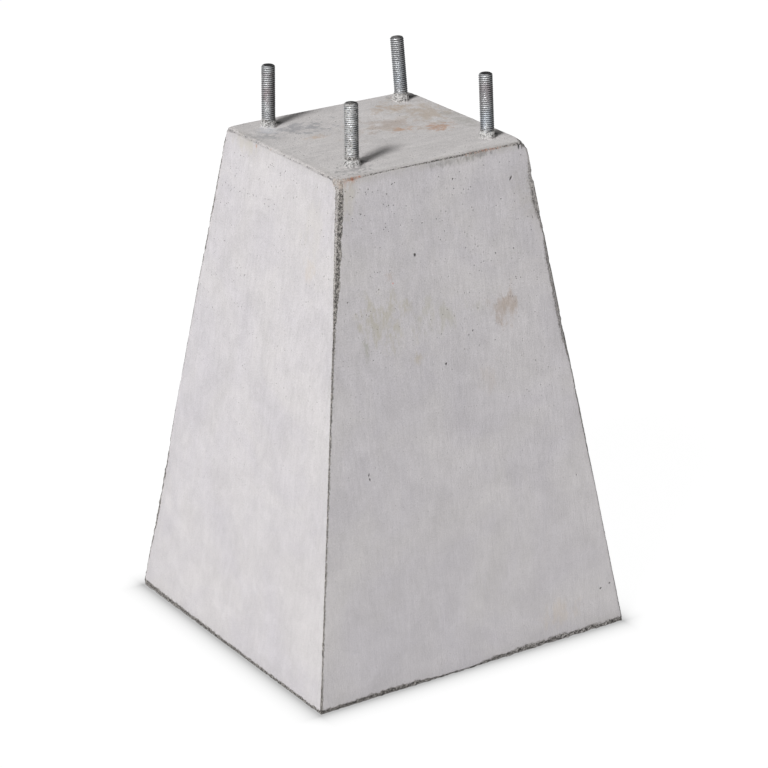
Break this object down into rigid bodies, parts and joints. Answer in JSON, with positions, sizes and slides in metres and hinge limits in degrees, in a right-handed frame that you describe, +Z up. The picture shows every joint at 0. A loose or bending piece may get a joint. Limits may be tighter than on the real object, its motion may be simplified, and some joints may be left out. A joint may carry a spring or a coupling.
{
  "type": "column base block",
  "caption": "Tapered four-sided concrete base block with upright threaded studs cast into its flat top, which hold the foot plate of a post or column.",
  "frame": {"origin": "centre of the underside, on the ground", "axes": "+Z up along the taper's axis and the studs, -Y out of the broad front face, +X to the right seen from the front"},
  "size_m": [0.2642, 0.2542, 0.4163],
  "materials": {
    "concrete": "matte",
    "galvanised_steel": "satin"
  },
  "bodies": {
    "root": {"block": "concrete", "stud_front_left": "galvanised_steel", "stud_front_right": "galvanised_steel", "stud_back_left": "galvanised_steel", "stud_back_right": "galvanised_steel"}
  },
  "joints": []
}
